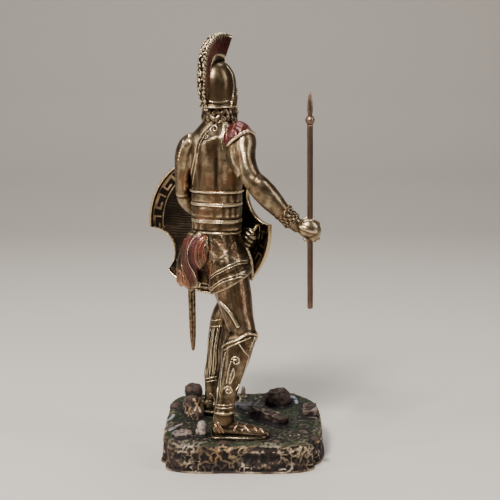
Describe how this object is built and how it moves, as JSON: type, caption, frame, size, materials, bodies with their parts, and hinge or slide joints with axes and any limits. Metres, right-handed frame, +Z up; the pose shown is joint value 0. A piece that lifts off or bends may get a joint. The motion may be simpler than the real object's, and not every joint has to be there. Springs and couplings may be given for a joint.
{
  "type": "warrior figurine on rocky plinth",
  "caption": "Cold-cast bronze figurine of a helmeted Greek warrior with shield, spear and scabbard, standing on a mossy rock plinth.",
  "frame": {"origin": "middle of the plinth's flat underside", "axes": "+Z up, +Y the way the warrior walks, away from the picture's camera, +X the warrior's right"},
  "size_m": [0.1175, 0.0935, 0.2722],
  "materials": {
    "mossy_rock": "cast resin painted as dark rock and green moss, gold dry-brushed on its edges",
    "bronze_resin": "bronze powder in resin, dark wash in the recesses, burnished on the high spots, red paint on the crest and the strips",
    "shield_bronze": "bronze powder in resin, dark inside, burnished rim",
    "brown_rod": "thin rod in satin brown paint"
  },
  "bodies": {
    "root": {"base": "mossy_rock", "warrior": "bronze_resin", "shield": "shield_bronze", "spear": "brown_rod", "scabbard": "bronze_resin"}
  },
  "joints": []
}
